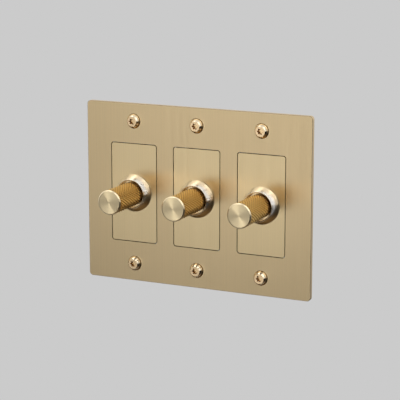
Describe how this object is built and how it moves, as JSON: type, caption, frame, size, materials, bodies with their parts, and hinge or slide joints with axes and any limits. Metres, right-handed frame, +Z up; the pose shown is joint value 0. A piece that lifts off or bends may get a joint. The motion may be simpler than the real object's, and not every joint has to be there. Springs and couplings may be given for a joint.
{
  "type": "wall dimmer switch",
  "caption": "Wall dimmer switch with knurled rotary push knobs in conical collars on a brushed brass plate, with yokes and moulded housings behind it.",
  "frame": {"origin": "middle of the front plate's back rim, on the wall surface", "axes": "+X along the row of gangs, +Z up, +Y into the wall, so the knobs point to -Y"},
  "size_m": [0.1614, 0.0673, 0.1204],
  "materials": {
    "brushed_brass": "fine vertical brushed grain",
    "polished_brass": "polished",
    "turned_brass": "diamond knurled with a spun end",
    "black_steel": "black oxide",
    "bright_steel": "bright turned",
    "plated_steel": "zinc plated",
    "spring_steel": "rolled",
    "green_steel": "green passivated",
    "terminal_brass": "nickel flashed",
    "black_plastic": "fine moulded grain",
    "grey_plastic": "moulded",
    "white_plastic": "moulded",
    "board_laminate": "solder mask",
    "moulded_epoxy": "moulded",
    "wound_wire": "enamelled wire",
    "film_casing": "gloss"
  },
  "bodies": {
    "base": {"front_plate": "brushed_brass", "plate_screws": "polished_brass", "housing_screws": "plated_steel", "terminal_screws": "terminal_brass", "ground_screws": "green_steel", "triac_rivets": "bright_steel", "left_insert_plate": "brushed_brass", "left_collar": "polished_brass", "left_yoke": "plated_steel", "left_control_body": "grey_plastic", "left_return_spring": "spring_steel", "left_circuit_board": "board_laminate", "left_triac": "moulded_epoxy", "left_choke": "wound_wire", "left_capacitor": "film_casing", "left_terminal_block": "grey_plastic", "left_rear_housing": "black_plastic", "centre_insert_plate": "brushed_brass", "centre_collar": "polished_brass", "centre_yoke": "plated_steel", "centre_control_body": "grey_plastic", "centre_return_spring": "spring_steel", "centre_circuit_board": "board_laminate", "centre_triac": "moulded_epoxy", "centre_choke": "wound_wire", "centre_capacitor": "film_casing", "centre_terminal_block": "grey_plastic", "centre_rear_housing": "black_plastic", "right_insert_plate": "brushed_brass", "right_collar": "polished_brass", "right_yoke": "plated_steel", "right_control_body": "grey_plastic", "right_return_spring": "spring_steel", "right_circuit_board": "board_laminate", "right_triac": "moulded_epoxy", "right_choke": "wound_wire", "right_capacitor": "film_casing", "right_terminal_block": "grey_plastic", "right_rear_housing": "black_plastic"},
    "left_plunger": {"left_switch_plunger": "white_plastic"},
    "left_knob": {"left_knob": "turned_brass", "left_knob_set_screw": "black_steel", "left_shaft": "bright_steel"},
    "left_wiper": {"left_wiper": "white_plastic"},
    "centre_plunger": {"centre_switch_plunger": "white_plastic"},
    "centre_knob": {"centre_knob": "turned_brass", "centre_knob_set_screw": "black_steel", "centre_shaft": "bright_steel"},
    "centre_wiper": {"centre_wiper": "white_plastic"},
    "right_plunger": {"right_switch_plunger": "white_plastic"},
    "right_knob": {"right_knob": "turned_brass", "right_knob_set_screw": "black_steel", "right_shaft": "bright_steel"},
    "right_wiper": {"right_wiper": "white_plastic"}
  },
  "joints": [
    {"name": "left_push", "type": "slide", "parent": "base", "child": "left_plunger", "axis": [0, 1, 0], "range_m": [0, 0.0012], "stiffness_N_per_m": 1500, "springref_m": -0.002, "deforming": ["left_return_spring"]},
    {"name": "left_turn", "type": "hinge", "parent": "left_plunger", "child": "left_knob", "pos_m": [-0.04604, 0, 0], "axis": [0, 1, 0], "range_deg": [-140, 140]},
    {"name": "left_wiper_turn", "type": "hinge", "parent": "base", "child": "left_wiper", "pos_m": [-0.04604, 0, 0], "axis": [0, 1, 0], "range_deg": [-145, 145]},
    {"name": "centre_push", "type": "slide", "parent": "base", "child": "centre_plunger", "axis": [0, 1, 0], "range_m": [0, 0.0012], "stiffness_N_per_m": 1500, "springref_m": -0.002, "deforming": ["centre_return_spring"]},
    {"name": "centre_turn", "type": "hinge", "parent": "centre_plunger", "child": "centre_knob", "pos_m": [0, 0, 0], "axis": [0, 1, 0], "range_deg": [-140, 140]},
    {"name": "centre_wiper_turn", "type": "hinge", "parent": "base", "child": "centre_wiper", "pos_m": [0, 0, 0], "axis": [0, 1, 0], "range_deg": [-145, 145]},
    {"name": "right_push", "type": "slide", "parent": "base", "child": "right_plunger", "axis": [0, 1, 0], "range_m": [0, 0.0012], "stiffness_N_per_m": 1500, "springref_m": -0.002, "deforming": ["right_return_spring"]},
    {"name": "right_turn", "type": "hinge", "parent": "right_plunger", "child": "right_knob", "pos_m": [0.04604, 0, 0], "axis": [0, 1, 0], "range_deg": [-140, 140]},
    {"name": "right_wiper_turn", "type": "hinge", "parent": "base", "child": "right_wiper", "pos_m": [0.04604, 0, 0], "axis": [0, 1, 0], "range_deg": [-145, 145]}
  ],
  "couplings": [
    {"joint": "left_wiper_turn", "follows": "left_turn", "ratio": 1},
    {"joint": "centre_wiper_turn", "follows": "centre_turn", "ratio": 1},
    {"joint": "right_wiper_turn", "follows": "right_turn", "ratio": 1}
  ]
}
